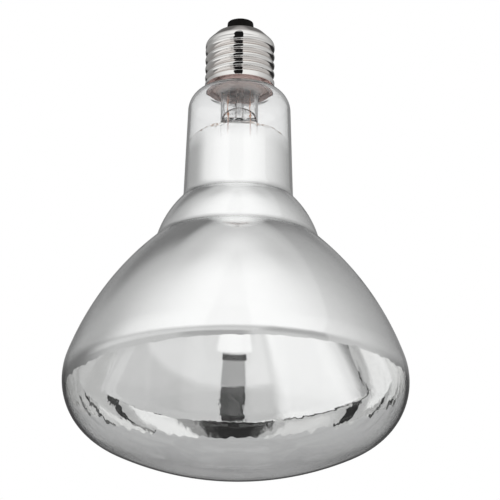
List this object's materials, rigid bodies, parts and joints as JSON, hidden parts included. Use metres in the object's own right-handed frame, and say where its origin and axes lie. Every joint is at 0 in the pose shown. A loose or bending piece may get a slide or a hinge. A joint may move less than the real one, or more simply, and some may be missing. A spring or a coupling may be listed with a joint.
{
  "type": "infrared heat lamp bulb",
  "caption": "Infrared heat lamp bulb: blown glass reflector with a mirrored body, a clear domed face and neck, and a screw cap.",
  "frame": {"origin": "the tip of the centre contact, on the lamp's axis", "axes": "+Z along the lamp's axis and out of the cap, so the glass hangs below the origin; -Y faces the viewer, with the gap of the filament's ring on that side"},
  "size_m": [0.125, 0.125, 0.1768],
  "materials": {
    "bulb_glass": "clear blown glass",
    "mirror_film": "aluminium vapour coating, bright seen through the glass",
    "cap_plating": "rolled sheet with bright nickel plating",
    "cement": "baked basing cement, matt red-brown",
    "black_glass": "opaque black insulating glass",
    "contact_brass": "pressed brass sheet",
    "solder": "soft solder, slightly dull",
    "copper_wire": "drawn copper wire",
    "stem_glass": "clear lead glass",
    "seal_wire": "copper-clad seal wire, red in the glass",
    "nickel_wire": "drawn nickel wire",
    "tungsten": "coiled tungsten, dark grey",
    "support_wire": "thin molybdenum wire"
  },
  "bodies": {
    "root": {"bulb_envelope": "bulb_glass", "mirror_coating": "mirror_film", "screw_shell": "cap_plating", "cap_cement": "cement", "insulator": "black_glass", "contact_plate": "contact_brass", "centre_solder": "solder", "side_solder": "solder", "contact_lead": "copper_wire", "side_lead": "copper_wire", "stem_flare": "stem_glass", "exhaust_tube": "stem_glass", "support_rod": "stem_glass", "seal_wire_left": "seal_wire", "seal_wire_right": "seal_wire", "inner_lead_left": "nickel_wire", "inner_lead_right": "nickel_wire", "filament": "tungsten", "filament_support_1": "support_wire", "filament_support_2": "support_wire", "filament_support_3": "support_wire", "filament_support_4": "support_wire"}
  },
  "joints": []
}
